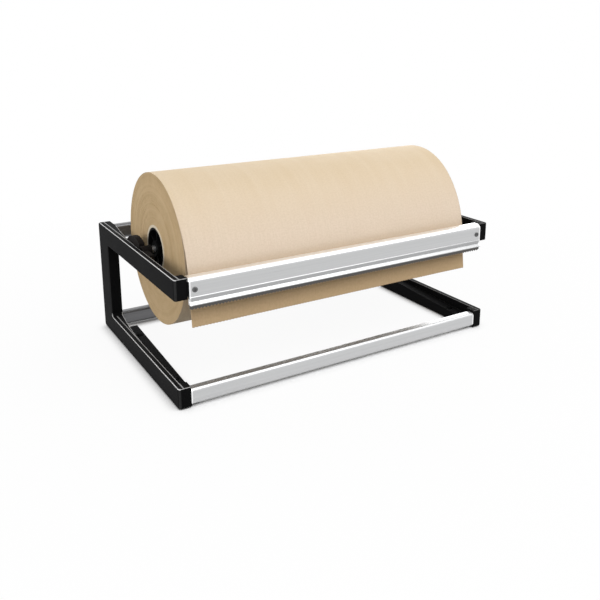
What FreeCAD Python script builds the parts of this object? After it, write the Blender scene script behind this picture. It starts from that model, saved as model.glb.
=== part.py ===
import FreeCAD, Part
import math
import os

from FreeCAD import Vector

# A table-top dispenser for a roll of wrapping paper, with a tear bar.
# Millimetres. X runs from the left frame to the right one, +Y to the back, +Z up.
# The origin is on the table, under the middle of the object.
# Depths named here are counted backwards from the front faces of the side frames.

# Overall layout
roll_width = 500.0         # width of the paper
roll_gap = 12.5            # clear width between each end of the roll and its side frame
frame_width = 18.5         # width of a side frame at its corner blocks
frame_depth = 345.0        # front face to back face of a side frame
foot_height = 1.5          # how far the feet lift the frames off the table
frame_height = 186.0       # height of a side frame without its feet

# Side frames
arm_height = 30.0          # height of the upper and the lower arm
arm_thickness = 8.5        # width of an arm between the corner blocks
post_depth = 45.0          # depth of the rear post
block_depth = 17.0         # depth of the front corner blocks
frame_corner = 5.0         # radius of the frame's outer corners, seen from the side
mouth_corner = 6.0         # radius inside the mouth of the C
front_edge = 4.0           # radius of the outer front vertical edge
edge_round = 1.3           # radius along the edges of the arms
flare_length = 150.0       # length over which an arm widens into the post
flare_bow = 0.75           # part of the widening that comes in the flare's rear half

# Foot flange on the inner side of each lower arm, with its screw-down holes
flange_reach = 9.0         # how far it stands inside the bay
flange_gap = 1.0           # from the front rail to its front end
flange_stop = 48.0         # from its rear end to the post
flange_front_height = 13.0
flange_rear_height = 26.0
mount_hole_dia = 5.0
mount_well_dia = 11.0      # well for a screw head and its driver
mount_floor = 6.0          # plastic left under the screw head
mount_front = 60.0         # depth of the front holes
mount_rear = 37.0          # rear holes ahead of the flange's rear end

# Rails
rail_height = 24.0
rail_depth = 16.0
rail_wall = 2.0
rail_corner = 5.0
lower_rail_base = 3.5      # underside of the lower rails above the table
upper_rail_drop = 3.0      # top of the upper rear rail below the frame's top
rear_rail_inset = 10.0     # rear faces of the rear rails ahead of the frame's rear face
spigot_length = 22.0       # how far a frame's spigot enters a rail
spigot_play = 0.2

# Tear bar
bar_height = 37.0
bar_depth = 15.0
bar_proud = 4.0            # bar's face in front of the frames' faces
bar_wall = 2.0
bar_box_height = 27.0      # hollow upper part
bar_crest = 7.0            # rounding of the bar's top front edge
bar_end_gap = 1.2          # gap between each end of the bar and the frame
web_thickness = 4.0        # solid web below the hollow part
ridge_base = 8.4           # heights on the bar's face, from its underside
ridge_top = 11.2
ridge_proud = 0.8
groove_base = 4.8
groove_sink = 0.8
lip_reach = 3.5            # lip in front of the bar's face
lip_nose = 1.2

# Cutting strip in the underside of the tear bar
strip_thickness = 1.0
strip_grip = 3.6           # height held in the bar
strip_show = 7.5           # height below the bar
strip_setback = 1.0        # slot behind the bar's face
strip_play = 0.1
tooth_pitch = 5.0
tooth_height = 2.0

# Paper
roll_dia = 230.0
core_wall = 4.0
core_bore = 64.0
roll_play = 0.05
tail_thickness = 0.5
tail_gap = 0.3             # between the sheet and the roll where it lifts off
tail_drop = 79.0           # the sheet's lower edge below the axle
tail_stand = 8.0           # how far the loose sheet springs away from the roll
tail_lift_off = 45.0       # where it leaves the roll, in degrees above the axle
tail_lean = 6.0            # lean of its straight run from the vertical, in degrees

# Axle, bearing blocks and cradles
axle_dia = 10.0
axle_depth = 152.0         # depth of the axle
axle_drop = 1.5            # axle below the top of the frames
axle_play = 0.08
axle_gap = 4.0             # from each end of the axle to the arm beside it
axle_chamfer = 0.8
block_size = 14.0          # bearing block, square to the axle
block_gap = 0.5            # from the block's outer end to the arm beside it
block_length = 15.0
notch_play = 0.15
cradle_inner = 1.5         # cradle's inner face outside the bay
cradle_front = 34.0        # cradle's front end ahead of the axle
cradle_rear = 66.0         # cradle's rear end behind the axle
cradle_rise = 1.5          # cradle's flat top above the axle
horn_height = 13.0         # top of the horn above the cradle's flat top
horn_shoulder = 7.5        # front corner of the horn above the cradle's flat top
horn_crown = 0.42          # place of the horn's highest point along its length

# Core plugs
plug_length = 25.0
plug_play = 0.1
plug_taper = 2.0
plug_wall = 3.0
plug_web = 4.0
hub_dia = 24.0
hub_proud = 1.0
hub_play = 0.05
rib_count = 6
rib_thickness = 2.5

# Screws
bar_screw_dia = 4.0
bar_screw_head = 7.6
bar_screw_inset = 8.0      # from the end of the bar
bar_screw_drop = 16.0      # below the top of the bar
bar_screw_gap = 1.0        # from its tip to the bar's rear wall
rail_screw_dia = 3.5
rail_screw_head = 6.5
rail_screw_inset = 11.0    # from the end of the rail
rail_screw_gap = 2.0       # from its tip to the rail's front wall
cradle_screw_dia = 3.5
cradle_screw_head = 6.5
cradle_screw_drop = 15.0   # below the top of the arm
cradle_screw_margin = 12.0 # from the cradle's ends
cradle_screw_floor = 4.0   # plastic left between its tip and the frame's outer face
screw_head_height = 1.3
screw_play = 0.05
recess_width = 1.0
recess_span = 4.2
recess_depth = 0.9
grub_dia = 4.0
grub_length = 5.5

# Feet
foot_dia = 13.0
foot_recess = 1.5
foot_play = 0.1
foot_inset = 8.6           # foot's middle ahead of or behind the frame's end

# Worked out from the sizes above
tolerance = 0.01
bay_half = roll_width / 2 + roll_gap
outer_half = bay_half + frame_width
front_reach = bar_proud + lip_reach
front_y = front_reach - (frame_depth + front_reach) / 2
frame_base = foot_height
frame_top = frame_base + frame_height
lower_arm_top = frame_base + arm_height
upper_arm_base = frame_top - arm_height
post_front = frame_depth - post_depth
arm_inner = outer_half - arm_thickness
flange_end = post_front - flange_stop
rear_rail_depth = frame_depth - rear_rail_inset - rail_depth
axle_y = front_y + axle_depth
axle_height = frame_top - axle_drop
roll_radius = roll_dia / 2
core_radius = core_bore / 2 + core_wall
bar_top = frame_top
bar_base = bar_top - bar_height
bar_face_y = front_y - bar_proud
bar_half = bay_half - bar_end_gap
block_half = block_size / 2
notch_floor = axle_height - block_half
cradle_half_inner = bay_half + cradle_inner
cradle_top = axle_height + cradle_rise
bar_screw_length = bar_depth - bar_wall - bar_screw_gap
rail_screw_length = rail_depth - rail_wall - rail_screw_gap
cradle_screw_length = outer_half - cradle_half_inner - cradle_screw_floor


def box(x0, x1, y0, y1, z0, z1):
    return Part.makeBox(x1 - x0, y1 - y0, z1 - z0, Vector(x0, y0, z0))


def rod_x(radius, x0, x1, y, z):
    return Part.makeCylinder(radius, x1 - x0, Vector(x0, y, z), Vector(1, 0, 0))


def rod_y(radius, y0, y1, x, z):
    return Part.makeCylinder(radius, y1 - y0, Vector(x, y0, z), Vector(0, 1, 0))


def rod_z(radius, z0, z1, x, y):
    return Part.makeCylinder(radius, z1 - z0, Vector(x, y, z0), Vector(0, 0, 1))


def prism_x(points, x0, x1):
    """Straight-sided outline given as (y, z), carried along X."""
    wire = Part.makePolygon([Vector(x0, y, z) for y, z in points + points[:1]])
    return Part.Face(wire).extrude(Vector(x1 - x0, 0, 0))


def rounded_along(shape, axis, radius, keep=None):
    """Round the straight edges that run along one axis."""
    edges = [e for e in shape.Edges if runs_along(e, axis) and (keep is None or keep(e))]
    return shape.makeFillet(radius, edges)


def runs_along(edge, axis):
    if not isinstance(edge.Curve, Part.Line):
        return False
    run = edge.Vertexes[-1].Point - edge.Vertexes[0].Point
    return abs(run.dot(axis)) > 0.999 * run.Length


def mirrored(shape):
    """The same piece for the right-hand side."""
    return shape.mirror(Vector(0, 0, 0), Vector(1, 0, 0))


def both_sides(shape):
    return Part.makeCompound([shape, mirrored(shape)])


# Side frames

def frame_outline():
    """The C of a side frame, seen from the side, at full width."""
    back_y = front_y + frame_depth
    post_y = front_y + post_front
    x0 = -outer_half
    x1 = -bay_half
    body = box(x0, x1, front_y, back_y, frame_base, frame_top)
    body = rounded_along(body, Vector(1, 0, 0), frame_corner, lambda e: e.CenterOfMass.y > 0)
    mouth = box(x0, x1, front_y - frame_corner, post_y, lower_arm_top, upper_arm_base)
    mouth = rounded_along(mouth, Vector(1, 0, 0), mouth_corner, lambda e: e.CenterOfMass.y > 0)
    return body.cut(mouth)


def frame_plan():
    """The frame seen from above: corner blocks, thin arms and their flare into the post."""
    back_y = front_y + frame_depth
    post_y = front_y + post_front
    flare_y = post_y - flare_length
    block_y = front_y + block_depth
    run = [
        (-bay_half, front_y),
        (-outer_half, front_y),
        (-outer_half, back_y),
        (-bay_half, back_y),
        (-bay_half, post_y),
    ]
    edges = [Part.LineSegment(Vector(*a, 0), Vector(*b, 0)).toShape() for a, b in zip(run, run[1:])]
    post = Vector(-bay_half, post_y, 0)
    flare = Vector(-arm_inner, flare_y, 0)
    bend = Vector(-bay_half - flare_bow * (arm_inner - bay_half), post_y - flare_length / 2, 0)
    edges.append(Part.Arc(post, bend, flare).toShape())
    rest = [(-arm_inner, flare_y), (-arm_inner, block_y), (-bay_half, block_y), (-bay_half, front_y)]
    edges += [Part.LineSegment(Vector(*a, 0), Vector(*b, 0)).toShape() for a, b in zip(rest, rest[1:])]
    plan = Part.Face(Part.Wire(edges)).extrude(Vector(0, 0, frame_top))
    return rounded_along(plan, Vector(0, 0, 1), front_edge, at_outer_front)


def at_outer_front(edge):
    point = edge.CenterOfMass
    return point.x < -outer_half + edge_round and point.y < front_y + edge_round


def softened_edge(edge):
    """Edges of the outer face, of the blocks' fronts and of the arms' inner rims."""
    span = edge.BoundBox
    level = span.ZLength < tolerance
    on_outer = span.XMax < -outer_half + tolerance
    on_front = level and span.YMax < front_y + front_edge + tolerance
    on_arm = abs(edge.CenterOfMass.x + arm_inner) < tolerance
    on_rim = level and on_arm and span.YLength > block_depth
    return on_outer or on_front or on_rim


def foot_flange():
    """Wedge along the inner side of the lower arm."""
    start_y = front_y + rail_depth + flange_gap
    end_y = front_y + flange_end
    outline = [
        (start_y, frame_base),
        (end_y, frame_base),
        (end_y, frame_base + flange_rear_height),
        (start_y, frame_base + flange_front_height),
    ]
    wedge = prism_x(outline, -arm_inner, -bay_half + flange_reach)
    return rounded_along(wedge, Vector(0, 0, 1), edge_round, lambda e: e.CenterOfMass.x > -bay_half)


def mount_holes():
    """Screw-down holes with wells, at both depths of one flange."""
    cutters = []
    for depth in (mount_front, flange_end - mount_rear):
        y = front_y + depth
        cutters.append(rod_z(mount_hole_dia / 2, 0, lower_arm_top, -bay_half, y))
        cutters.append(rod_z(mount_well_dia / 2, frame_base + mount_floor, lower_arm_top, -bay_half, y))
    return Part.makeCompound(cutters)


def rail_spigot(depth, base):
    """Tongue of a frame that enters a rail."""
    grow = rail_wall + spigot_play
    y0 = front_y + depth + grow
    y1 = front_y + depth + rail_depth - grow
    z0 = base + grow
    z1 = base + rail_height - grow
    tongue = box(-bay_half, -bay_half + spigot_length, y0, y1, z0, z1)
    return rounded_along(tongue, Vector(1, 0, 0), rail_corner - grow)


def bar_spigot():
    grow = bar_wall + spigot_play
    y0 = bar_face_y + grow
    y1 = bar_face_y + bar_depth - grow
    z0 = bar_top - bar_box_height + grow
    z1 = bar_top - grow
    tongue = box(-bay_half, -bay_half + bar_end_gap + spigot_length, y0, y1, z0, z1)
    return crested(tongue, bar_crest - grow)


def bar_spigot_root():
    """Shoulder that ties the tear bar's tongue to the corner block."""
    grow = bar_wall + spigot_play
    y0 = bar_face_y + grow
    y1 = bar_face_y + bar_depth - grow
    z0 = bar_top - bar_box_height + grow
    z1 = bar_top - grow
    return box(-bay_half - arm_thickness, -bay_half, max(y0, front_y), y1, z0, z1)


def foot_places():
    rear = frame_depth - foot_inset
    return [(-outer_half + frame_width / 2, front_y + depth) for depth in (foot_inset, rear)]


def frame_body():
    return frame_outline().common(frame_plan())


def left_frame():
    body = frame_body()
    body = body.makeFillet(edge_round, [e for e in body.Edges if softened_edge(e)])
    added = [
        foot_flange(),
        rail_spigot(0, lower_rail_base),
        rail_spigot(rear_rail_depth, lower_rail_base),
        rail_spigot(rear_rail_depth, upper_rail_base()),
        bar_spigot(),
        bar_spigot_root(),
    ]
    body = body.fuse(added)
    cutters = [mount_holes(), cradle_screw_bores()]
    cutters.append(clearance_bore(bar_face_y, bar_face_y + bar_screw_length))
    cutters += rail_screw_bores()
    for x, y in foot_places():
        cutters.append(rod_z(foot_dia / 2 + foot_play, 0, frame_base + foot_recess, x, y))
    return body.cut(cutters).removeSplitter()


# Rails

def upper_rail_base():
    return frame_top - upper_rail_drop - rail_height


def rail_tube(depth, base):
    y0 = front_y + depth
    outer = box(-bay_half, bay_half, y0, y0 + rail_depth, base, base + rail_height)
    outer = rounded_along(outer, Vector(1, 0, 0), rail_corner)
    y_in = y0 + rail_wall
    y_out = y0 + rail_depth - rail_wall
    inner = box(-bay_half, bay_half, y_in, y_out, base + rail_wall, base + rail_height - rail_wall)
    return outer.cut(rounded_along(inner, Vector(1, 0, 0), rail_corner - rail_wall))


def lower_rail(depth):
    """Tube with clearance holes for the screws that enter it from below."""
    tube = rail_tube(depth, lower_rail_base)
    y = front_y + depth + rail_depth / 2
    z1 = lower_rail_base + rail_wall
    for x in (-rail_screw_x(), rail_screw_x()):
        tube = tube.cut(rod_z(rail_screw_dia / 2 + screw_play, 0, z1, x, y))
    return tube


def upper_rail():
    """Tube with clearance holes for the screws that enter it from behind."""
    tube = rail_tube(rear_rail_depth, upper_rail_base())
    y1 = front_y + rear_rail_depth + rail_depth
    for x in (-rail_screw_x(), rail_screw_x()):
        tube = tube.cut(rod_y(rail_screw_dia / 2 + screw_play, y1 - rail_wall, y1, x, upper_rail_mid()))
    return tube


def rail_screw_x():
    return bay_half - rail_screw_inset


def upper_rail_mid():
    return upper_rail_base() + rail_height / 2


# Tear bar

def bar_section():
    """Outline of the bar, as (y, z) from the foot of its face."""
    rear = bar_depth
    shelf = bar_height - bar_box_height
    return [
        (0, bar_height),
        (0, ridge_top),
        (-ridge_proud, ridge_top - ridge_proud),
        (-ridge_proud, ridge_base),
        (groove_sink, ridge_base - groove_sink),
        (groove_sink, groove_base),
        (-lip_reach, lip_nose),
        (-lip_reach, 0),
        (web_thickness, 0),
        (web_thickness, shelf),
        (rear, shelf),
        (rear, bar_height),
    ]


def crested(shape, radius):
    """Round the top front edge of a shape that runs along the bar."""
    span = shape.BoundBox

    def at_crest(edge):
        place = edge.CenterOfMass
        high = place.z > span.ZMax - tolerance
        return high and place.y < shape.CenterOfMass.y - span.YLength / 4

    return rounded_along(shape, Vector(1, 0, 0), radius, at_crest)


def tear_bar():
    outline = [(bar_face_y + y, bar_base + z) for y, z in bar_section()]
    bar = crested(prism_x(outline, -bar_half, bar_half), bar_crest)
    z0 = bar_top - bar_box_height + bar_wall
    z1 = bar_top - bar_wall
    y1 = bar_face_y + bar_depth - bar_wall
    hollow = box(-bar_half, bar_half, bar_face_y + bar_wall, y1, z0, z1)
    bar = bar.cut(crested(hollow, bar_crest - bar_wall))
    bar = bar.cut(strip_slot())
    bores = clearance_bore(bar_face_y, bar_face_y + bar_wall)
    return bar.cut(both_sides(bores))


def clearance_bore(y0, y1):
    """Bore for the left tear bar screw, from one place along Y to another."""
    return rod_y(bar_screw_dia / 2 + screw_play, y0, y1, -bar_screw_x(), bar_screw_z())


def bar_screw_x():
    return bar_half - bar_screw_inset


def bar_screw_z():
    return bar_top - bar_screw_drop


def strip_slot():
    y0 = bar_face_y + strip_setback
    y1 = y0 + strip_thickness + strip_play
    return box(-bar_half, bar_half, y0, y1, bar_base, bar_base + strip_grip)


def cutting_strip():
    """Flat strip with a row of teeth along its lower edge."""
    y0 = bar_face_y + strip_setback + strip_play / 2
    root = bar_base - strip_show + tooth_height
    tip = bar_base - strip_show
    count = int(2 * bar_half / tooth_pitch)
    start = -count * tooth_pitch / 2
    points = [(-bar_half, bar_base + strip_grip), (-bar_half, root)]
    for i in range(count):
        x = start + i * tooth_pitch
        points.append((x, root))
        points.append((x + tooth_pitch / 2, tip))
    points.append((-start, root))
    points.append((bar_half, root))
    points.append((bar_half, bar_base + strip_grip))
    wire = Part.makePolygon([Vector(x, y0, z) for x, z in points + points[:1]])
    return Part.Face(wire).extrude(Vector(0, strip_thickness, 0))


# Screws

def screw(dia, head_dia, length):
    """Screw with a cross recess, its head's underside at the origin and its shank along -Z."""
    shank = rod_z(dia / 2, -length, 0, 0, 0)
    head = rod_z(head_dia / 2, 0, screw_head_height, 0, 0)
    rim = [e for e in head.Edges if e.CenterOfMass.z > screw_head_height / 2 and e.Length > head_dia]
    head = head.makeFillet(screw_head_height / 2, rim)
    z0 = screw_head_height - recess_depth
    half = recess_span / 2
    slot = box(-half, half, -recess_width / 2, recess_width / 2, z0, screw_head_height)
    cross = box(-recess_width / 2, recess_width / 2, -half, half, z0, screw_head_height)
    return shank.fuse(head).cut([slot, cross])


def placed(shape, position, way):
    """The piece moved to a place, with its +Z turned to point the given way."""
    copy = shape.copy()
    copy.Placement = FreeCAD.Placement(Vector(*position), FreeCAD.Rotation(Vector(0, 0, 1), Vector(*way)))
    return copy


def rail_screw_bores():
    radius = rail_screw_dia / 2 + screw_play
    bores = []
    for depth in (0, rear_rail_depth):
        y = front_y + depth + rail_depth / 2
        z1 = lower_rail_base + rail_screw_length
        bores.append(rod_z(radius, lower_rail_base, z1, -rail_screw_x(), y))
    y1 = front_y + rear_rail_depth + rail_depth
    bores.append(rod_y(radius, y1 - rail_screw_length, y1, -rail_screw_x(), upper_rail_mid()))
    return bores


def cradle_screw_places():
    z = frame_top - cradle_screw_drop
    y0 = axle_y - cradle_front + cradle_screw_margin
    y1 = axle_y + cradle_rear - cradle_screw_margin
    return [(y, z) for y in (y0, y1)]


def cradle_screw_bores():
    """Blind bores in the arm behind the cradle."""
    x0 = -cradle_half_inner - cradle_screw_length
    radius = cradle_screw_dia / 2 + screw_play
    bores = [rod_x(radius, x0, -cradle_half_inner, y, z) for y, z in cradle_screw_places()]
    return Part.makeCompound(bores)


def tear_bar_screws():
    base = screw(bar_screw_dia, bar_screw_head, bar_screw_length)
    return both_sides(placed(base, (-bar_screw_x(), bar_face_y, bar_screw_z()), (0, -1, 0)))


def lower_rail_screws():
    base = screw(rail_screw_dia, rail_screw_head, rail_screw_length)
    screws = []
    for depth in (0, rear_rail_depth):
        y = front_y + depth + rail_depth / 2
        for x in (-rail_screw_x(), rail_screw_x()):
            screws.append(placed(base, (x, y, lower_rail_base), (0, 0, -1)))
    return Part.makeCompound(screws)


def upper_rail_screws():
    base = screw(rail_screw_dia, rail_screw_head, rail_screw_length)
    y = front_y + rear_rail_depth + rail_depth
    return both_sides(placed(base, (-rail_screw_x(), y, upper_rail_mid()), (0, 1, 0)))


def cradle_screws():
    base = screw(cradle_screw_dia, cradle_screw_head, cradle_screw_length)
    left = [placed(base, (-cradle_half_inner, y, z), (1, 0, 0)) for y, z in cradle_screw_places()]
    return both_sides(Part.makeCompound(left))


# Axle and what carries it

def left_cradle():
    """Lug on the inner side of the upper arm, with an open notch and a horn behind it."""
    y0 = axle_y - cradle_front
    y1 = axle_y + cradle_rear
    base = [(y0, upper_arm_base), (y1, upper_arm_base), (y1, cradle_top), (y0, cradle_top)]
    lug = prism_x(base, -arm_inner, -cradle_half_inner)
    horn = prism_horn(axle_y + block_half + notch_play, y1)
    lug = lug.fuse(horn).removeSplitter().cut(frame_body())
    half = block_half + notch_play
    above = cradle_top + horn_height
    lug = lug.cut(box(-arm_inner, -cradle_half_inner, axle_y - half, axle_y + half, notch_floor, above))
    for y, z in cradle_screw_places():
        lug = lug.cut(rod_x(cradle_screw_dia / 2 + screw_play, -arm_inner, -cradle_half_inner, y, z))
    return lug


def prism_horn(y_front, y_rear):
    """Rounded horn that stops the axle from rolling out at the back."""
    x = -arm_inner
    foot_front = Vector(x, y_front, upper_arm_base)
    front = Vector(x, y_front, cradle_top + horn_shoulder)
    crown = Vector(x, y_front + horn_crown * (y_rear - y_front), cradle_top + horn_height)
    rear = Vector(x, y_rear, cradle_top)
    foot_rear = Vector(x, y_rear, upper_arm_base)
    edges = [
        Part.LineSegment(foot_front, front).toShape(),
        Part.Arc(front, crown, rear).toShape(),
        Part.LineSegment(rear, foot_rear).toShape(),
        Part.LineSegment(foot_rear, foot_front).toShape(),
    ]
    return Part.Face(Part.Wire(edges)).extrude(Vector(arm_inner - cradle_half_inner, 0, 0))


def left_bearing_block():
    """Block with a flat foot and a round top, bored for the axle."""
    x0 = -arm_inner + block_gap
    x1 = x0 + block_length
    foot = box(x0, x1, axle_y - block_half, axle_y + block_half, notch_floor, axle_height)
    body = foot.fuse(rod_x(block_half, x0, x1, axle_y, axle_height)).removeSplitter()
    return body.cut(rod_x(axle_dia / 2 + axle_play, x0, x1, axle_y, axle_height))


def axle():
    half = arm_inner - axle_gap
    bar = rod_x(axle_dia / 2, -half, half, axle_y, axle_height)
    ends = [e for e in bar.Edges if isinstance(e.Curve, Part.Circle)]
    return bar.makeChamfer(axle_chamfer, ends)


# Core plugs

def left_plug():
    """Cup pushed into the core, with a hub on the axle and ribs between hub and rim."""
    x_out = -roll_width / 2
    x_in = x_out + plug_length
    radius = core_bore / 2 - plug_play
    at = Vector(x_out, axle_y, axle_height)
    along = Vector(1, 0, 0)
    rim = Part.makeCone(radius, radius - plug_taper, plug_length, at, along)
    inside = radius - plug_wall
    hollow = Part.makeCone(inside, inside - plug_taper, plug_length - plug_web, at, along)
    hub = rod_x(hub_dia / 2, x_out - hub_proud, x_in, axle_y, axle_height)
    rib_base = axle_height - rib_thickness / 2
    rib_top = axle_height + rib_thickness / 2
    ribs = []
    for i in range(rib_count):
        rib = box(x_out + plug_wall, x_in, axle_y, axle_y + radius - plug_wall / 2, rib_base, rib_top)
        rib.rotate(at, along, 360.0 * i / rib_count + 180.0 / rib_count)
        ribs.append(rib)
    body = rim.cut(hollow).fuse([r.common(rim) for r in ribs] + [hub])
    bore = rod_x(axle_dia / 2 + hub_play, x_out - hub_proud, x_in, axle_y, axle_height)
    grub = rod_z(grub_dia / 2 + screw_play, axle_height, axle_height + hub_dia / 2, grub_x(), axle_y)
    return body.cut([bore, grub]).removeSplitter()


def grub_x():
    return -roll_width / 2 + plug_length / 2


def plug_set_screws():
    z0 = axle_height + axle_dia / 2
    grub = rod_z(grub_dia / 2, z0, z0 + grub_length, grub_x(), axle_y)
    half = recess_span / 4
    top = z0 + grub_length
    slot = box(grub_x() - half, grub_x() + half, axle_y - half, axle_y + half, top - recess_depth, top)
    return both_sides(grub.cut(slot))


# Paper

def ring_x(outer, inner, half):
    tube = rod_x(outer, -half, half, axle_y, axle_height)
    return tube.cut(rod_x(inner, -half, half, axle_y, axle_height))


def paper_core():
    return ring_x(core_radius, core_bore / 2, roll_width / 2)


def paper_roll():
    return ring_x(roll_radius, core_radius + roll_play, roll_width / 2)


def paper_tail():
    """Free end of the sheet: it lifts off the roll in a wider arc, then hangs in a straight run."""
    turn = math.radians(tail_lift_off - tail_lean)
    spread = tail_stand / (1 - math.cos(turn))
    x = -roll_width / 2
    inner = tail_side(x, roll_radius + tail_gap, spread)
    outer = tail_side(x, roll_radius + tail_gap + tail_thickness, spread)
    top = Part.LineSegment(inner[0], outer[0]).toShape()
    foot = Part.LineSegment(inner[3], outer[3]).toShape()
    sides = []
    for start, middle, end, low in (inner, outer):
        sides.append(Part.Arc(start, middle, end).toShape())
        sides.append(Part.LineSegment(end, low).toShape())
    wire = Part.Wire([top] + sides[2:] + [foot] + sides[1::-1])
    return Part.Face(wire).extrude(Vector(roll_width, 0, 0))


def tail_side(x, near, spread):
    """Arc's start, middle and end, and the lower end of the straight run, of one side of the sheet."""
    lift_off = math.radians(tail_lift_off)
    lean = math.radians(tail_lean)
    radius = near + spread
    centre_y = axle_y + spread * math.cos(lift_off)
    centre_z = axle_height - spread * math.sin(lift_off)
    points = []
    for angle in (lift_off, (lift_off + lean) / 2, lean):
        points.append(Vector(x, centre_y - radius * math.cos(angle), centre_z + radius * math.sin(angle)))
    end = points[-1]
    fall = end.z - (axle_height - tail_drop)
    points.append(Vector(x, end.y - fall * math.tan(lean), end.z - fall))
    return points


# Feet

def foot(x, y):
    pad = rod_z(foot_dia / 2, 0, frame_base + foot_recess, x, y)
    rim = [e for e in pad.Edges if e.CenterOfMass.z < tolerance and e.Length > foot_dia]
    return pad.makeFillet(foot_height / 2, rim)


def feet():
    nodes = {}
    for place, (x, y) in zip(("front", "rear"), foot_places()):
        nodes[place + "_left_foot"] = foot(x, y)
        nodes[place + "_right_foot"] = foot(-x, y)
    return nodes


def nodes():
    frame = left_frame()
    cradle = left_cradle()
    block = left_bearing_block()
    plug = left_plug()
    pieces = {
        "left_side_frame": frame,
        "right_side_frame": mirrored(frame),
        "tear_bar": tear_bar(),
        "cutting_strip": cutting_strip(),
        "lower_front_rail": lower_rail(0),
        "lower_rear_rail": lower_rail(rear_rail_depth),
        "upper_rear_rail": upper_rail(),
        "tear_bar_screws": tear_bar_screws(),
        "lower_rail_screws": lower_rail_screws(),
        "upper_rail_screws": upper_rail_screws(),
        "left_axle_cradle": cradle,
        "right_axle_cradle": mirrored(cradle),
        "cradle_screws": cradle_screws(),
        "left_bearing_block": block,
        "right_bearing_block": mirrored(block),
        "axle": axle(),
        "left_core_plug": plug,
        "right_core_plug": mirrored(plug),
        "plug_set_screws": plug_set_screws(),
        "paper_core": paper_core(),
        "paper_roll": paper_roll(),
        "paper_tail": paper_tail(),
    }
    pieces.update(feet())
    return pieces


os.makedirs("parts", exist_ok=True)
for name, shape in nodes().items():
    shape.exportStep(os.path.join("parts", name + ".step"))
    size = shape.BoundBox
    print(name, len(shape.Solids), shape.isValid(), round(shape.Volume, 1),
          [round(v, 2) for v in (size.XMin, size.XMax, size.YMin, size.YMax, size.ZMin, size.ZMax)])
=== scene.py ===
import math
import random

import bmesh
import bpy
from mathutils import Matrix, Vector, noise


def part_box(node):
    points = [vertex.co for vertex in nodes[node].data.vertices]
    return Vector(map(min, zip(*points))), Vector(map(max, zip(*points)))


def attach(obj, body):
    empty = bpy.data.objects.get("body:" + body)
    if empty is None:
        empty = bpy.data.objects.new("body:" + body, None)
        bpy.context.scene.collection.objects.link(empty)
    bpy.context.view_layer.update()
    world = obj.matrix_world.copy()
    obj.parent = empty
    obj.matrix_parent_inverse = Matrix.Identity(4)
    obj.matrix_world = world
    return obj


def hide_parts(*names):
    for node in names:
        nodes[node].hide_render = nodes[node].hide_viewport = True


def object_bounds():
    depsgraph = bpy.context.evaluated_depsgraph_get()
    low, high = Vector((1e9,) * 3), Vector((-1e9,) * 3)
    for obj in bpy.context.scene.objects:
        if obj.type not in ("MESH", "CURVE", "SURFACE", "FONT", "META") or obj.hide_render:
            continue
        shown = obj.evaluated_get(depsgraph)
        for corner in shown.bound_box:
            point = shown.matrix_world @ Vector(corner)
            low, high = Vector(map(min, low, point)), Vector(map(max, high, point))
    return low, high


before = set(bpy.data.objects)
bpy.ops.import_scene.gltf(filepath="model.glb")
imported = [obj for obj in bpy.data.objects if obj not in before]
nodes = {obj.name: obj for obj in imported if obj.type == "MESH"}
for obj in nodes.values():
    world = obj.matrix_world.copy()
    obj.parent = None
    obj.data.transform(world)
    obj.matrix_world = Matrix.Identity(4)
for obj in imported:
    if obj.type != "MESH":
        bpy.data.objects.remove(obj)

cad_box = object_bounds()
full_turn = 2 * math.pi

# Metres throughout. X runs from the left frame to the right one, +Y to the back, +Z up.

# Camera
camera_place = (-0.5924, -1.0002, 0.5001)
camera_heading = 31.175     # degrees to the right of +Y
camera_dip = 14.026         # degrees below the horizon
camera_lens = 42.712        # mm
camera_sensor = 36.0        # mm
camera_shift = -0.15

# Lights: place, width, height and watts of each softbox, and the point that they all face
softboxes = {
    "key": ((0.3, -1.3, 1.9), 3.0, 2.2, 47),
    "fill": ((-2.1, -0.35, 0.6), 1.6, 1.3, 17),
    "rim": ((-0.7, 1.9, 1.1), 2.4, 0.6, 8),
    "back": ((1.8, 1.5, 0.9), 1.8, 1.4, 22),
}
softbox_aim = (0, 0, 0.15)
world_strength = 0.28       # for light on its way to a surface

# Floor
floor_half = 12
floor_drop = 0.0002         # below the feet
floor_bounce = 0.26         # grey that it has for light on its way to a surface
contact_reach = 0.02        # how near a surface keeps its shadow on the floor
fade_from, fade_to = 0.35, 1.1
fade_share = 0.93           # of white near the object

# Places read from the frame
roll_low, roll_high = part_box("paper_roll")
core_low, core_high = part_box("paper_core")
bar_low, bar_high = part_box("tear_bar")
axle_low, axle_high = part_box("axle")
rail_low, rail_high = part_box("lower_front_rail")
tail_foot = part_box("paper_tail")[0].z
strip_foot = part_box("cutting_strip")[0].z
frame_front = rail_low.y    # the rail is flush with the frames' fronts
arm_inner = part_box("right_axle_cradle")[1].x
axle_y = (axle_low.y + axle_high.y) / 2
axle_z = (axle_low.z + axle_high.z) / 2
roll_radius = (roll_high.z - roll_low.z) / 2
roll_half = (roll_high.x - roll_low.x) / 2
core_radius = (core_high.z - core_low.z) / 2

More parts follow.
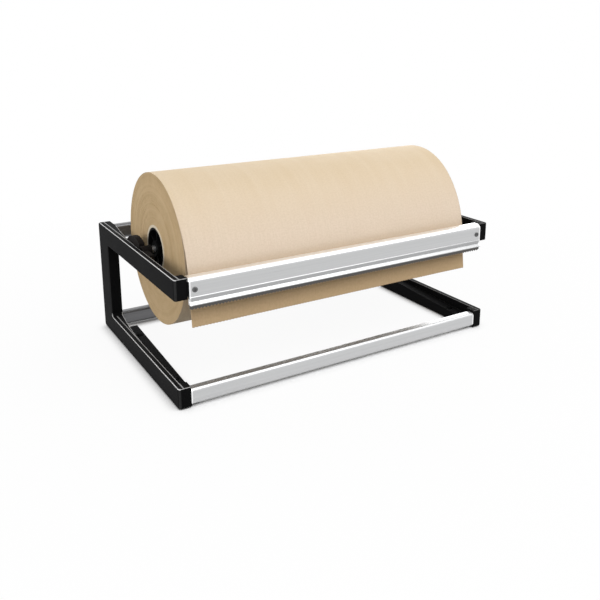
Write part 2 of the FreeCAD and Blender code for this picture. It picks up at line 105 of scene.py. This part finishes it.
# Marks that the materials carry: painted highlights, painted shade and real marks
front_highlight_depth = 0.0014         # depth of the painted highlight along the tops of the frames' fronts
front_highlight_share = 0.55
inner_highlight_width = 0.0012         # width of the painted highlight along the arms' inner rims
inner_highlight_share = 0.5
inner_highlight_start = 0.0004        # over which it fades in
sawn_highlight_width = 0.0016          # width of the painted highlights at the sawn ends of bar and rail
sawn_highlight_share = 0.9
ground_line = 0.0009        # height of the ground edge along the cutting strip's teeth
ground_stray = 0.0006       # how far that line strays
line_fade = 0.0006          # over which each of these lines fades out
crest_highlight_height = 0.0025         # height of the painted highlight along the crest of the bar
crest_highlight_fade = 0.001
groove_foot, groove_top = 0.0046, 0.0114    # of the painted shade in the bar's groove, above the bar's lower edge
groove_shade_fade = 0.0004
rosy_light_from, rosy_light_to = 0.10, 0.03             # of the painted rosy light: above the axle, on the loose sheet
bar_shade_from, bar_shade_to = 0.006, -0.016        # of the painted shade below the bar: above the bar's top, and from its lower edge
seam_climb = 0.11           # along the core for one turn of its seam
seam_width = 0.012          # on each side, as a share of that climb
end_pitch = 0.0018          # of the windings' tone on the roll's ends
end_round = 0.004           # how fast that tone changes round the ends, for each radian
noise_span = 0.3, 0.7       # where most values of a noise lie

# The wound roll
roll_columns = 192
skin_steps = 64
skin_depth = 0.00012        # below the frame's solid
skin_wave = 0.0001
wave_along, wave_round = 14, 3
roll_rim = 0.0004           # width of the bevel between the skin and the ends
rim_drop = roll_rim * 0.6   # and its height
windings = 38
core_gap = 0.00005          # between the innermost winding and the core
winding_pitch = (roll_radius - core_radius - 2 * core_gap) / windings
winding_depths = 0.00004, 0.00034           # the range from which each depth is drawn
winding_sway = 0.00022      # a slower change of depth, on top
sway_rate = 0.5             # of it, in radians for each winding
winding_seed = 7
skin_slot, end_slot = 0, 1  # the roll's materials
roll_smooth = math.radians(35)

# The loose sheet, as the frame's solid of it runs
sheet_lift_off = math.radians(45)
sheet_lean = math.radians(6)
sheet_stand = 0.008
sheet_gap = 0.0003
sheet_solid = 0.0005        # thickness of the frame's solid
sheet_ply = 0.00016         # thickness of the paper
sheet_hug = math.radians(105)
sheet_tuck = 0.0005         # how deep its upper end lies under the roll's skin
sheet_inset = 0.0002        # from the roll's ends
sheet_columns = 400
hug_steps, arc_steps, run_steps = 20, 24, 40
sheet_smooth = math.radians(60)
tear_pitch = 0.005
tear_depth = 0.0009
sheet_waves = (             # height, power of its growth, rates along and down, slice of the noise
    (0.0011, 3, 7, 0.4, 2.7),
    (0.0005, 2, 22, 1.0, 9.1),
)


# Shader node helpers

def add(tree, kind, inputs=None, **settings):
    """A shader node. An input given as a socket is linked, and any other value is set."""
    made = tree.nodes.new(kind)
    for name, value in settings.items():
        setattr(made, name, value)
    for key, value in (inputs or {}).items():
        if isinstance(value, bpy.types.NodeSocket):
            tree.links.new(value, made.inputs[key])
        else:
            made.inputs[key].default_value = value
    return made


def new_material(name):
    """An empty node material, with its output."""
    material = bpy.data.materials.new(name)
    material.use_nodes = True
    tree = material.node_tree
    tree.nodes.clear()
    return material, tree, tree.nodes.new("ShaderNodeOutputMaterial")


def math_node(tree, operation, first, second=0.0):
    return add(tree, "ShaderNodeMath", {0: first, 1: second}, operation=operation).outputs[0]


def product(tree, first, second):
    return math_node(tree, "MULTIPLY", first, second)


def total(tree, first, second):
    return math_node(tree, "ADD", first, second)


def magnitude(tree, value):
    return math_node(tree, "ABSOLUTE", value)


def place(tree):
    """The piece's own coordinates, in metres."""
    return add(tree, "ShaderNodeTexCoord").outputs["Object"]


def axes(tree, vector):
    """The X, Y and Z of a vector."""
    return add(tree, "ShaderNodeSeparateXYZ", {0: vector}).outputs


def combined(tree, x, y=0.0):
    return add(tree, "ShaderNodeCombineXYZ", {0: x, 1: y}).outputs[0]


def stretched(tree, vector, scales):
    return add(tree, "ShaderNodeMapping", {"Vector": vector, "Scale": scales}).outputs[0]


def noise_at(tree, vector, scale, detail=3.0, roughness=0.6):
    """Noise with one scale, or with one for each axis."""
    if isinstance(scale, tuple):
        vector, scale = stretched(tree, vector, scale), 1.0
    inputs = {"Vector": vector, "Scale": scale, "Detail": detail, "Roughness": roughness}
    return add(tree, "ShaderNodeTexNoise", inputs).outputs["Fac"]


def ranged(tree, value, low, high, to_low=0.0, to_high=1.0):
    """The value's range from low to high, carried over to another range and held there."""
    inputs = {"Value": value, "From Min": low, "From Max": high, "To Min": to_low, "To Max": to_high}
    return add(tree, "ShaderNodeMapRange", inputs, clamp=True).outputs[0]


def between(tree, share, first, second):
    """A number between two others."""
    return add(tree, "ShaderNodeMix", {0: share, 2: first, 3: second}).outputs[0]


def mixed(tree, share, first, second, blend="MIX"):
    """A colour between two others."""
    made = add(tree, "ShaderNodeMix", {"Factor": share}, data_type="RGBA", blend_type=blend)
    for socket, value in ((made.inputs[6], first), (made.inputs[7], second)):
        if isinstance(value, bpy.types.NodeSocket):
            tree.links.new(value, socket)
        else:
            socket.default_value = (*value, 1)
    return made.outputs[2]


def tinted(tree, colour, *tints):
    """The colour under tints: what each follows, from where to where, its most and its colour."""
    for follows, low, high, most, tint in tints:
        share = ranged(tree, follows, low, high, to_high=most)
        colour = mixed(tree, share, colour, tint)
    return colour


def bumped(tree, height, strength, distance):
    inputs = {"Height": height, "Strength": strength, "Distance": distance}
    return add(tree, "ShaderNodeBump", inputs).outputs[0]


def shade(tree, output, colour, roughness, normal, **fixed):
    """Finish a material with one principled shader. The fixed values are its own sockets."""
    inputs = {"Base Color": colour, "Roughness": roughness, "Normal": normal}
    for key, value in fixed.items():
        inputs[key.replace("_", " ")] = value
    shader = add(tree, "ShaderNodeBsdfPrincipled", inputs)
    tree.links.new(shader.outputs[0], output.inputs["Surface"])


def slanting(tree, component):
    """Near 1 where a surface's normal lies well between an axis and the plane across it."""
    size = magnitude(tree, component)
    band = product(tree, size, math_node(tree, "SUBTRACT", 1.0, size))
    return ranged(tree, band, 0.07, 0.16)


def painted_edge_highlights(tree, at):
    """The share of painted highlight colour: along rounded rims, the fronts' tops and the arms' inner
    rims.
    """
    facing = axes(tree, add(tree, "ShaderNodeNewGeometry").outputs["Normal"])
    depth = axes(tree, at)["Y"]
    across = magnitude(tree, axes(tree, at)["X"])
    front_end = frame_front + front_highlight_depth
    inner_end = arm_inner + inner_highlight_width
    front = ranged(tree, depth, front_end + line_fade, front_end, to_high=front_highlight_share)
    front = product(tree, front, slanting(tree, facing["Y"]))
    rims = math_node(tree, "MAXIMUM", slanting(tree, facing["X"]), front)
    # painted highlight: strongest on rims that face up, where the light from above falls
    rims = product(tree, rims, ranged(tree, facing["Z"], 0.0, 0.45, to_low=0.04))
    inner = ranged(tree, across, inner_end + line_fade, inner_end, to_high=inner_highlight_share)
    inner = product(tree, inner, ranged(tree, across, arm_inner - inner_highlight_start, arm_inner))
    inner = product(tree, inner, ranged(tree, facing["Z"], 0.9, 0.96))
    return math_node(tree, "MAXIMUM", rims, inner)


def round_the_axle(tree, at):
    """Distance along the roll, angle round it and radius from its axis."""
    parts = axes(tree, at)
    y = math_node(tree, "SUBTRACT", parts["Y"], axle_y)
    z = math_node(tree, "SUBTRACT", parts["Z"], axle_z)
    angle = math_node(tree, "ARCTAN2", z, y)
    square = total(tree, product(tree, y, y), product(tree, z, z))
    return parts["X"], angle, math_node(tree, "SQRT", square)


# Materials

def moulded_plastic(name, dark, light, rub_and_sheen, smooth, rough):
    """Black plastic with a fine spark-eroded grain, smoother along its edges, where a paler colour
    paints highlights.
    """
    material, tree, output = new_material(name)
    at = place(tree)
    cloud = noise_at(tree, at, 24.0, detail=4.0)
    grain = noise_at(tree, at, 2600.0, detail=2.0)
    highlight_breakup = noise_at(tree, at, 310.0, detail=5.0, roughness=0.7)
    pits = noise_at(tree, at, 900.0, roughness=0.7)
    # The paler colour along the edges is a painted highlight; the lower roughness there is real
    # rubbing.
    edge_highlight_share = product(tree, painted_edge_highlights(tree, at), ranged(tree, highlight_breakup, 0.3, 0.6, to_low=0.6))
    colour = mixed(tree, ranged(tree, cloud, *noise_span), dark, light)
    colour = tinted(tree, colour, (pits, 0.5, 0.72, 0.8, tuple(2.0 * c for c in light)))
    colour = mixed(tree, edge_highlight_share, colour, rub_and_sheen)
    uneven = ranged(tree, total(tree, cloud, grain), 0.7, 1.3, rough, rough + 0.12)
    roughness = between(tree, edge_highlight_share, uneven, smooth)
    normal = bumped(tree, grain, strength=0.35, distance=0.00006)
    shade(tree, output, colour, roughness, normal, Specular_IOR_Level=0.035)
    return material


def anodised(name, dark, light, smooth, rough, sawn_end=None, groove=None, crest=None):
    """Anodised aluminium with fine drawn lines along it.

    It has painted highlights at the sawn ends, painted shade in the groove and a painted highlight
    along the crest, where their places are given.
    """
    material, tree, output = new_material(name)
    at = place(tree)
    lines = noise_at(tree, at, (2.5, 1500, 1500), detail=4.0, roughness=0.65)
    long_lines = noise_at(tree, at, (0.8, 260, 260), detail=2.0, roughness=0.5)
    cloud = noise_at(tree, at, 14.0, roughness=0.5)
    both = total(tree, product(tree, lines, 0.55), product(tree, long_lines, 0.45))
    colour = mixed(tree, ranged(tree, both, *noise_span), dark, light)
    if sawn_end:
        # a painted highlight along the sawn ends
        across = magnitude(tree, axes(tree, at)["X"])
        rim = sawn_end - sawn_highlight_width
        colour = tinted(tree, colour, (across, rim - line_fade, rim, sawn_highlight_share, (0.98, 0.98, 0.98)))
    if groove:
        # painted shade in the bar's groove
        height = axes(tree, at)["Z"]
        low, high = groove
        groove_shade = ranged(tree, height, low - groove_shade_fade, low + groove_shade_fade)
        groove_shade = product(tree, groove_shade, ranged(tree, height, high + groove_shade_fade, high - groove_shade_fade))
        colour = mixed(tree, groove_shade, colour, (0.77, 0.77, 0.77), blend="MULTIPLY")
    if crest:
        # a painted highlight along the bar's crest
        height = axes(tree, at)["Z"]
        foot = crest - crest_highlight_height
        colour = tinted(tree, colour, (height, foot - crest_highlight_fade, foot, 1.0, (0.96, 0.96, 0.96)))
    rub_and_sheen = total(tree, both, product(tree, cloud, 0.5))
    roughness = ranged(tree, rub_and_sheen, 0.5, 1.0, smooth, rough)
    normal = bumped(tree, lines, strength=0.12, distance=0.00003)
    shade(tree, output, colour, roughness, normal, Metallic=1.0)
    return material


def turned_steel(name, dark, light, smooth):
    """Steel with fine turning marks and a little tarnish."""
    material, tree, output = new_material(name)
    at = place(tree)
    marks = noise_at(tree, at, (1800, 40, 40))
    tarnish = noise_at(tree, at, 160.0, detail=4.0)
    colour = mixed(tree, ranged(tree, tarnish, 0.35, 0.7), dark, light)
    roughness = ranged(tree, marks, *noise_span, smooth, smooth + 0.18)
    normal = bumped(tree, marks, strength=0.25, distance=0.00003)
    shade(tree, output, colour, roughness, normal, Metallic=1.0)
    return material


def blade_steel():
    """Darkened steel with a slightly brighter and smoother ground edge along its teeth."""
    material, tree, output = new_material("blade_steel")
    at = place(tree)
    height = axes(tree, at)["Z"]
    streaks = noise_at(tree, at, (60, 60, 900))
    ragged = total(tree, height, product(tree, streaks, ground_stray))
    ground_end = strip_foot + ground_line
    ground = ranged(tree, ragged, ground_end + line_fade, ground_end)
    colour = mixed(tree, ground, (0.105, 0.100, 0.096), (0.14, 0.136, 0.132))
    roughness = ranged(tree, ground, 0.0, 1.0, 0.42, 0.24)
    normal = bumped(tree, streaks, strength=0.2, distance=0.00003)
    shade(tree, output, colour, roughness, normal, Metallic=1.0)
    return material


def rubber():
    """Black rubber with a fine grain and some dust."""
    material, tree, output = new_material("rubber")
    at = place(tree)
    grain = noise_at(tree, at, 1500.0)
    dust = noise_at(tree, at, 120.0, detail=4.0)
    colour = mixed(tree, ranged(tree, dust, 0.45, 0.75), (0.018, 0.018, 0.018), (0.05, 0.048, 0.045))
    roughness = ranged(tree, grain, *noise_span, 0.72, 0.9)
    shade(tree, output, colour, roughness, bumped(tree, grain, strength=0.3, distance=0.00008))
    return material


def kraft_paper(name, loose=False):
    """Brown kraft: faint ribs round the roll, loose fibres and soft changes of tone.

    Loose paper has painted light, rosier towards the bar, and painted shade, browner below it.
    """
    material, tree, output = new_material(name)
    at = place(tree)
    along, angle, _ = round_the_axle(tree, at)
    unrolled = combined(tree, along, product(tree, angle, roll_radius))
    cloud = noise_at(tree, unrolled, (9, 14, 1))
    bands = noise_at(tree, unrolled, (55, 2.5, 1))
    ribs = noise_at(tree, unrolled, (900, 14, 1))
    fibre = noise_at(tree, unrolled, (420, 1500, 1), detail=6.0, roughness=0.7)
    mottle = noise_at(tree, unrolled, (300, 380, 1), detail=2.0)
    cells = {"Vector": stretched(tree, unrolled, (420, 1100, 1)), "Scale": 1.0}
    speck = add(tree, "ShaderNodeTexVoronoi", cells).outputs["Distance"]
    colour = mixed(tree, ranged(tree, cloud, 0.32, 0.68), (0.695, 0.55, 0.365), (0.72, 0.58, 0.405))
    if loose:
        height = axes(tree, at)["Z"]
        # painted light: paler and rosier towards the bar
        rosy_light = (height, axle_z + rosy_light_from, axle_z + rosy_light_to, 0.75, (0.86, 0.71, 0.585))
        colour = tinted(tree, colour, rosy_light)
    colour = tinted(
        tree, colour,
        (bands, 0.35, 0.7, 0.30, (0.80, 0.68, 0.53)),
        (ribs, 0.35, 0.7, 0.24, (0.66, 0.52, 0.36)),
        (fibre, 0.5, 0.78, 0.42, (0.86, 0.75, 0.60)),
        (speck, 0.16, 0.02, 0.5, (0.48, 0.34, 0.20)),
        (mottle, 0.4, 0.65, 0.22, (0.60, 0.47, 0.31)),
    )
    if loose:
        # painted shade: browner below the bar, where its shadow falls
        bar_shade = ranged(tree, height, bar_high.z + bar_shade_from, bar_low.z + bar_shade_to)
        colour = mixed(tree, bar_shade, colour, (0.93, 0.80, 0.58), blend="MULTIPLY")
    relief = total(tree, product(tree, ribs, 0.7), product(tree, fibre, 0.5))
    roughness = ranged(tree, fibre, *noise_span, 0.62, 0.8)
    normal = bumped(tree, relief, strength=0.25, distance=0.00006)
    shade(tree, output, colour, roughness, normal, Specular_IOR_Level=0.35)
    return material


def paper_edges():
    """The cut edges of the wound layers, on the ends of the roll."""
    material, tree, output = new_material("paper_edges")
    at = place(tree)
    _, angle, radius = round_the_axle(tree, at)
    wound = total(tree, radius, product(tree, angle, end_pitch / full_turn))
    ring = combined(tree, wound, product(tree, angle, end_round))
    fine = noise_at(tree, ring, (5200, 60, 1), roughness=0.7)
    broad = noise_at(tree, ring, (95, 25, 1))
    cloud = noise_at(tree, at, 38.0, detail=4.0)
    colour = mixed(tree, ranged(tree, broad, *noise_span), (0.56, 0.40, 0.215), (0.70, 0.52, 0.30))
    colour = tinted(
        tree, colour,
        (fine, 0.35, 0.68, 0.5, (0.42, 0.28, 0.14)),
        (cloud, 0.4, 0.75, 0.4, (0.74, 0.56, 0.34)),
    )
    roughness = ranged(tree, fine, *noise_span, 0.78, 0.92)
    normal = bumped(tree, fine, strength=0.5, distance=0.00012)
    shade(tree, output, colour, roughness, normal, Specular_IOR_Level=0.25)
    return material


def core_board():
    """Pale spiral-wound board: a seam that climbs round the tube, and layered ends."""
    material, tree, output = new_material("core_board")
    at = place(tree)
    along, angle, radius = round_the_axle(tree, at)
    climb = total(tree, product(tree, along, 1 / seam_climb), product(tree, angle, 1 / full_turn))
    turn = math_node(tree, "FRACT", total(tree, climb, 20.0))   # 20 whole turns keep it above 0
    from_seam = magnitude(tree, math_node(tree, "SUBTRACT", turn, 0.5))
    seam = ranged(tree, from_seam, 0.0, seam_width, 1.0, 0.0)
    fibre = noise_at(tree, at, 620.0, detail=5.0, roughness=0.7)
    layers = noise_at(tree, combined(tree, radius), (2400, 1, 1), detail=2.0, roughness=0.5)
    colour = mixed(tree, ranged(tree, fibre, 0.35, 0.7), (0.72, 0.62, 0.46), (0.86, 0.78, 0.64))
    colour = tinted(tree, colour, (layers, 0.45, 0.65, 0.35, (0.60, 0.49, 0.33)))
    colour = mixed(tree, product(tree, seam, 0.6), colour, (0.42, 0.33, 0.22))
    relief = math_node(tree, "SUBTRACT", fibre, product(tree, seam, 2.0))
    roughness = ranged(tree, fibre, *noise_span, 0.75, 0.9)
    shade(tree, output, colour, roughness, bumped(tree, relief, strength=0.3, distance=0.0001))
    return material


# Meshes

def finished(name, bm, smooth_angle=None):
    """An object of the mesh under construction, in the scene."""
    mesh = bpy.data.meshes.new(name)
    bm.to_mesh(mesh)
    bm.free()
    piece = bpy.data.objects.new(name, mesh)
    bpy.context.scene.collection.objects.link(piece)
    for face in mesh.polygons:
        face.use_smooth = smooth_angle is not None
    if smooth_angle is not None:
        mesh.set_sharp_from_angle(angle=smooth_angle)
    return piece


def joined(bm, first, second, material=0):
    """Faces between two rows of points, but none where the rows meet."""
    for a, b, c, d in zip(first, first[1:], second[1:], second):
        if (a.co - b.co).length < 1e-9 and (c.co - d.co).length < 1e-9:
            continue
        face = bm.faces.new((a, b, c, d))
        face.material_index = material


def loop_of(bm, x_at, radius_at):
    """A row of points round the roll's axis, whose places and radii follow the angle."""
    row = []
    for i in range(roll_columns + 1):
        angle = full_turn * i / roll_columns
        radius = radius_at(angle)
        y = axle_y + radius * math.cos(angle)
        z = axle_z + radius * math.sin(angle)
        row.append(bm.verts.new((x_at(angle), y, z)))
    return row


def skin_rows(bm):
    """The roll's skin, with a slight waviness, as rows from its left end to its right one."""
    rows = []
    half = roll_half - roll_rim
    for i in range(skin_steps + 1):
        x = -half + 2 * half * i / skin_steps

        def radius_at(angle, x=x):
            around = wave_round * math.cos(angle), wave_round * math.sin(angle)
            return roll_radius - skin_depth - skin_wave * noise.noise(Vector((x * wave_along, *around)))

        rows.append(loop_of(bm, lambda angle, x=x: x, radius_at))
    return rows


def wind_end(bm, side, edge):
    """One end of the roll, from the skin's edge inwards: a spiral whose windings lie unevenly deep."""
    chance = random.Random(winding_seed + side)
    depths = []
    for k in range(windings + 3):
        sway = winding_sway * (1 + math.sin(sway_rate * k + side))
        depths.append(chance.uniform(*winding_depths) + sway)

    def spiral(start, angle):
        reach = roll_radius - winding_pitch * (start + angle / full_turn)
        return max(core_radius + core_gap, reach)

    before = edge
    for k in range(windings + 1):
        def x_at(angle, k=k):
            share = angle / full_turn
            return side * (roll_half - depths[k] * (1 - share) - depths[k + 1] * share)

        def outer(angle, k=k):
            return roll_radius - rim_drop if k == 0 else spiral(k - 0.5, angle)

        def inner(angle, k=k):
            return spiral(k + 0.5, angle)

        first = loop_of(bm, x_at, outer)
        second = loop_of(bm, x_at, inner)
        joined(bm, *(before, first)[::side], skin_slot if k == 0 else end_slot)
        joined(bm, *(first, second)[::side], end_slot)
        before = second


def wound_roll():
    """The roll: its skin and its two wound ends."""
    bm = bmesh.new()
    rows = skin_rows(bm)
    for first, second in zip(rows, rows[1:]):
        joined(bm, first, second, skin_slot)
    wind_end(bm, -1, rows[0])
    wind_end(bm, 1, rows[-1])
    bmesh.ops.remove_doubles(bm, verts=bm.verts, dist=1e-6)
    bmesh.ops.dissolve_degenerate(bm, edges=bm.edges, dist=1e-7)
    bmesh.ops.recalc_face_normals(bm, faces=bm.faces)
    return finished("kraft_roll", bm, roll_smooth)


def on_arc(centre_y, centre_z, radius, angle):
    """A point of the sheet's line on an arc that faces the front: y, z, outward y and outward z."""
    out_y, out_z = -math.cos(angle), math.sin(angle)
    return centre_y + radius * out_y, centre_z + radius * out_z, out_y, out_z


def sheet_line():
    """Points down the loose sheet, from where it still lies on the roll to its lower edge."""
    away = sheet_gap + sheet_solid / 2      # from the roll's skin to the middle of the sheet
    spread = sheet_stand / (1 - math.cos(sheet_lift_off - sheet_lean))
    radius = roll_radius + away + spread
    centre_y = axle_y + spread * math.cos(sheet_lift_off)
    centre_z = axle_z - spread * math.sin(sheet_lift_off)
    line = []
    for i in range(hug_steps):
        share = i / hug_steps
        angle = sheet_hug + (sheet_lift_off - sheet_hug) * share
        near = roll_radius - sheet_tuck + (sheet_tuck + away) * share
        line.append(on_arc(axle_y, axle_z, near, angle))
    for i in range(arc_steps + 1):
        angle = sheet_lift_off + (sheet_lean - sheet_lift_off) * i / arc_steps
        line.append(on_arc(centre_y, centre_z, radius, angle))
    y, z, *outward = line[-1]
    fall = z - tail_foot - sheet_ply
    for i in range(1, run_steps + 1):
        drop = fall * i / run_steps
        line.append((y - drop * math.tan(sheet_lean), z - drop, *outward))
    return line


def loose_sheet():
    """The free end of the paper, with soft waves that grow towards its torn lower edge."""
    bm = bmesh.new()
    line = sheet_line()
    half = roll_half - sheet_inset
    rows = []
    for j, (y, z, out_y, out_z) in enumerate(line):
        share = j / (len(line) - 1)
        row = []
        for i in range(sheet_columns + 1):
            x = -half + 2 * half * i / sheet_columns
            wave = 0.0
            for height, power, along, down, cut in sheet_waves:
                wave += height * share ** power * noise.noise(Vector((x * along, down * share, cut)))
            rise = 0.0
            if j == len(line) - 1:
                rise = tear_depth * abs((x / tear_pitch) % 1 - 0.5) * 2
            row.append(bm.verts.new((x, y - wave * abs(out_y), z + rise + wave * out_z)))
        rows.append(row)
    for first, second in zip(rows, rows[1:]):
        joined(bm, first, second)
    piece = finished("kraft_sheet", bm, sheet_smooth)
    ply = piece.modifiers.new("ply", "SOLIDIFY")
    ply.thickness = sheet_ply
    ply.offset = 0
    return piece


# Dressing

def dress(piece, *materials):
    """Give an object its materials, in its slots."""
    slots = piece.data.materials
    for i, material in enumerate(materials):
        if i < len(slots):
            slots[i] = material
        else:
            slots.append(material)


def dress_nodes(material, *names):
    """Give pieces of the frame one material, in all their slots."""
    for name in names:
        piece = nodes[name]
        dress(piece, *[material] * max(1, len(piece.data.materials)))


black = (0.003, 0.003, 0.0032), (0.006, 0.006, 0.0064)
# The cradles' black carries a painted warm tint: light bounced from the paper.
black_with_painted_bounce = (0.007, 0.006, 0.006), (0.012, 0.010, 0.009)

# Two copies of one plastic: the left frame, which faces the light, gets brighter painted edge
# highlights than the right.
left_frame_plastic_bright_highlight = moulded_plastic(
    "left_frame_plastic_bright_highlight", *black, rub_and_sheen=(0.80, 0.80, 0.80), smooth=0.34, rough=0.6)
right_frame_plastic_dim_highlight = moulded_plastic(
    "right_frame_plastic_dim_highlight", *black, rub_and_sheen=(0.20, 0.20, 0.20), smooth=0.34, rough=0.6)
cradle_plastic = moulded_plastic(
    "cradle_plastic", *black_with_painted_bounce, rub_and_sheen=(0.04, 0.04, 0.04), smooth=0.34, rough=0.55)
plug_plastic = moulded_plastic(
    "plug_plastic", *black, rub_and_sheen=(0.02, 0.02, 0.02), smooth=0.35, rough=0.5)
bar_aluminium = anodised(
    "bar_aluminium", (0.515, 0.52, 0.525), (0.605, 0.61, 0.615), smooth=0.26, rough=0.40,
    sawn_end=bar_high.x, groove=(bar_low.z + groove_foot, bar_low.z + groove_top), crest=bar_high.z)
rail_aluminium = anodised(
    "rail_aluminium", (0.53, 0.535, 0.54), (0.61, 0.615, 0.62), smooth=0.34, rough=0.46,
    sawn_end=rail_high.x)
rear_aluminium = anodised(
    "rear_rail_aluminium", (0.12, 0.12, 0.124), (0.17, 0.17, 0.174), smooth=0.32, rough=0.45)
screw_steel = turned_steel("screw_steel", (0.22, 0.225, 0.23), (0.42, 0.42, 0.42), smooth=0.28)
dull_steel = turned_steel("dull_screw_steel", (0.09, 0.09, 0.092), (0.19, 0.19, 0.19), smooth=0.34)
axle_steel = turned_steel("axle_steel", (0.40, 0.40, 0.41), (0.58, 0.58, 0.58), smooth=0.22)

dress_nodes(left_frame_plastic_bright_highlight, "left_side_frame")
dress_nodes(right_frame_plastic_dim_highlight, "right_side_frame")
dress_nodes(cradle_plastic, "left_axle_cradle", "right_axle_cradle")
dress_nodes(cradle_plastic, "left_bearing_block", "right_bearing_block")
dress_nodes(plug_plastic, "left_core_plug", "right_core_plug")
dress_nodes(bar_aluminium, "tear_bar")
dress_nodes(rail_aluminium, "lower_front_rail")
dress_nodes(rear_aluminium, "lower_rear_rail", "upper_rear_rail")
dress_nodes(blade_steel(), "cutting_strip")
dress_nodes(dull_steel, "tear_bar_screws")
dress_nodes(screw_steel, "lower_rail_screws", "upper_rail_screws", "cradle_screws")
dress_nodes(screw_steel, "plug_set_screws")
dress_nodes(axle_steel, "axle")
dress_nodes(rubber(), "front_left_foot", "front_right_foot", "rear_left_foot", "rear_right_foot")
dress_nodes(core_board(), "paper_core")

roll = wound_roll()
dress(roll, kraft_paper("kraft_paper"), paper_edges())
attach(roll, "roll_assembly")
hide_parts("paper_roll")

sheet = loose_sheet()
dress(sheet, kraft_paper("loose_kraft_paper", loose=True))
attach(sheet, "bearing_blocks")
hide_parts("paper_tail")


# Floor, lights and camera

def seen_directly(tree):
    """1 where the camera, gloss or glass looks, and 0 for light on its way to a surface."""
    path = add(tree, "ShaderNodeLightPath").outputs
    seen = math_node(tree, "MAXIMUM", path["Is Camera Ray"], path["Is Glossy Ray"])
    return math_node(tree, "MAXIMUM", seen, path["Is Transmission Ray"])


def studio_world():
    """White to look at, and soft as light."""
    world = bpy.data.worlds.new("studio")
    bpy.context.scene.world = world
    world.use_nodes = True
    tree = world.node_tree
    tree.nodes.clear()
    output = tree.nodes.new("ShaderNodeOutputWorld")
    strength = between(tree, seen_directly(tree), world_strength, 1.0)
    light = add(tree, "ShaderNodeBackground", {"Color": (1, 1, 1, 1), "Strength": strength})
    tree.links.new(light.outputs[0], output.inputs["Surface"])


def floor_material():
    """Pale, and white to look at away from the object's contact shadow."""
    material, tree, output = new_material("floor")
    at = place(tree)
    seen = seen_directly(tree)
    away = add(tree, "ShaderNodeVectorMath", {0: at}, operation="LENGTH").outputs["Value"]
    cloud = noise_at(tree, at, 3.0, roughness=0.5)
    pale = mixed(tree, cloud, (0.84, 0.84, 0.84), (0.87, 0.87, 0.87))
    grey = mixed(tree, seen, (floor_bounce, floor_bounce, floor_bounce), pale)
    matte = add(tree, "ShaderNodeBsdfDiffuse", {"Color": grey}).outputs[0]
    glow = add(tree, "ShaderNodeEmission", {"Color": (1, 1, 1, 1), "Strength": 1.0}).outputs[0]
    shelter = add(tree, "ShaderNodeAmbientOcclusion", {"Distance": contact_reach}, samples=8)
    open_sky = ranged(tree, shelter.outputs["AO"], 0.4, 0.92)
    fade = ranged(tree, away, fade_from, fade_to, to_low=fade_share)
    share = product(tree, seen, product(tree, open_sky, fade))
    both = add(tree, "ShaderNodeMixShader", {0: share, 1: matte, 2: glow})
    tree.links.new(both.outputs[0], output.inputs["Surface"])
    return material


def studio_floor():
    """A wide floor that keeps the object's soft shadow and fades into the white around it."""
    bm = bmesh.new()
    bmesh.ops.create_grid(bm, x_segments=1, y_segments=1, size=floor_half)
    floor = finished("floor", bm)
    floor.location.z = cad_box[0].z - floor_drop
    dress(floor, floor_material())


def softbox(name, stand, width, height, watts):
    """A large area lamp that faces the object."""
    lamp = bpy.data.lights.new(name, "AREA")
    lamp.shape = "RECTANGLE"
    lamp.size = width
    lamp.size_y = height
    lamp.energy = watts
    light = bpy.data.objects.new(name, lamp)
    bpy.context.scene.collection.objects.link(light)
    light.location = stand
    light.rotation_euler = (Vector(softbox_aim) - Vector(stand)).to_track_quat("-Z", "Y").to_euler()


def studio_camera():
    data = bpy.data.cameras.new("camera")
    data.lens = camera_lens
    data.sensor_width = camera_sensor
    data.shift_y = camera_shift
    camera = bpy.data.objects.new("camera", data)
    bpy.context.scene.collection.objects.link(camera)
    camera.location = camera_place
    camera.rotation_euler = (math.radians(90 - camera_dip), 0, math.radians(-camera_heading))
    bpy.context.scene.camera = camera


studio_world()
studio_floor()
for name, settings in softboxes.items():
    softbox(name, *settings)
studio_camera()
bpy.context.scene.view_settings.view_transform = "Standard"
